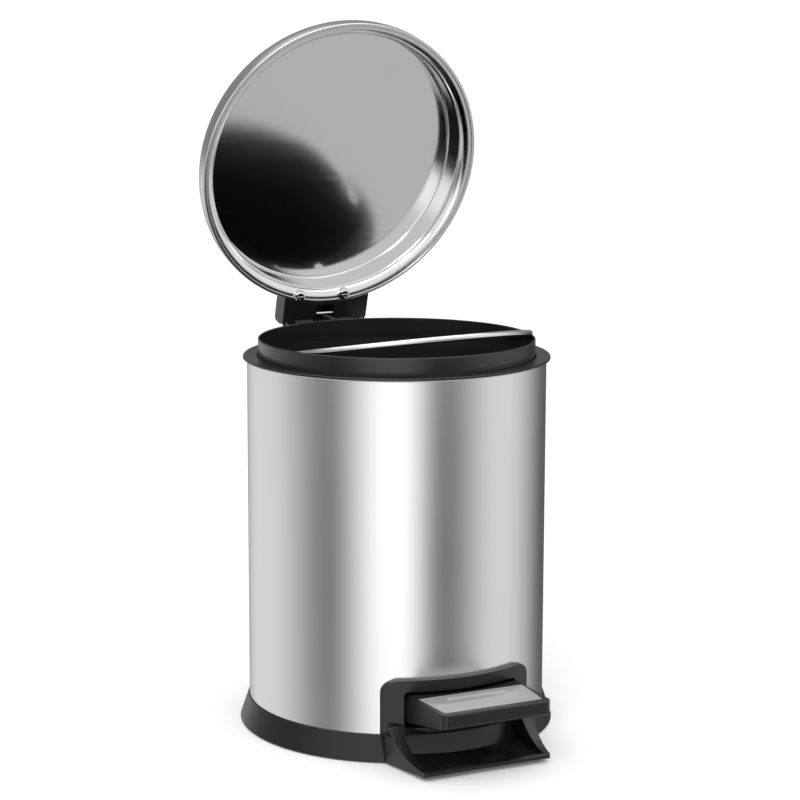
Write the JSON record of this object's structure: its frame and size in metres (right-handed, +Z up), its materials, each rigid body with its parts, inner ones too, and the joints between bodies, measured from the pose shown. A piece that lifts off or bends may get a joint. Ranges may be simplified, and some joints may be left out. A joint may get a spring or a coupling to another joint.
{
  "type": "pedal trash can",
  "caption": "Round step-on trash can: steel body, hinged lid with a polished inner pan, black base and rims, foot pedal with a lift rod, and a loose bucket with a wire handle",
  "frame": {"origin": "on the floor, on the vertical axis of the round body", "axes": "+Z up, front with the pedal towards -Y, +X to the right seen from the front; right-handed"},
  "size_m": [0.2168, 0.2919, 0.4783],
  "materials": {
    "steel_body": "satin vertical brushing",
    "lid_steel": "satin",
    "pan_steel": "polished",
    "black_plastic": "fine satin grain",
    "bucket_plastic": "fine satin grain",
    "grip": "satin",
    "wire": "bright",
    "zinc": "zinc plated",
    "nylon": "satin",
    "black_steel": "blackened",
    "rubber": "matt"
  },
  "bodies": {
    "can": {"body_shell": "steel_body", "top_ring": "black_plastic", "base_ring": "black_plastic", "chassis": "black_plastic", "bottom_cover": "black_plastic", "rubber_feet": "rubber", "cover_screws": "zinc", "pedal_bezel": "black_plastic", "bezel_screws": "zinc", "hinge_bracket": "black_plastic", "bracket_screws": "zinc", "hinge_pins": "zinc", "pedal_axle": "zinc", "axle_clips": "zinc"},
    "pedal": {"pedal_lever": "zinc", "pivot_bushes": "nylon", "pedal_tread": "black_plastic", "pedal_pad": "grip", "tread_screws": "zinc"},
    "rod": {"lift_rod": "zinc", "rod_foot": "nylon", "lifter_head": "black_steel"},
    "lid": {"lid_cap": "lid_steel", "lid_pan": "pan_steel", "hinge_block": "black_plastic", "lift_bar": "wire", "lid_screws": "wire"},
    "bucket": {"inner_bucket": "bucket_plastic"},
    "bail": {"bail_handle": "wire"}
  },
  "joints": [
    {"name": "lid_hinge", "type": "hinge", "parent": "can", "child": "lid", "pos_m": [0, 0.1239, 0.2569], "axis": [-1, 0, 0], "range_deg": [-74, 0]},
    {"name": "pedal_pivot", "type": "hinge", "parent": "can", "child": "pedal", "pos_m": [0, -0.058, 0.018], "axis": [-1, 0, 0], "range_deg": [0, 3.5]},
    {"name": "rod_lift", "type": "slide", "parent": "can", "child": "rod", "axis": [0, 0, 1], "range_m": [-0.0094, 0]},
    {"name": "bucket_turn", "type": "hinge", "parent": "can", "child": "bucket", "pos_m": [0, 0, 0.1], "axis": [0, 0, 1], "continuous": true},
    {"name": "bail_swing", "type": "hinge", "parent": "bucket", "child": "bail", "pos_m": [0, 0, 0.26], "axis": [-0.9954, -0.0958, 0], "range_deg": [0, 157.4]}
  ],
  "couplings": [
    {"joint": "pedal_pivot", "follows": "lid_hinge", "ratio": -0.046112},
    {"joint": "rod_lift", "follows": "lid_hinge", "m_per_rad": 0.0071602}
  ]
}
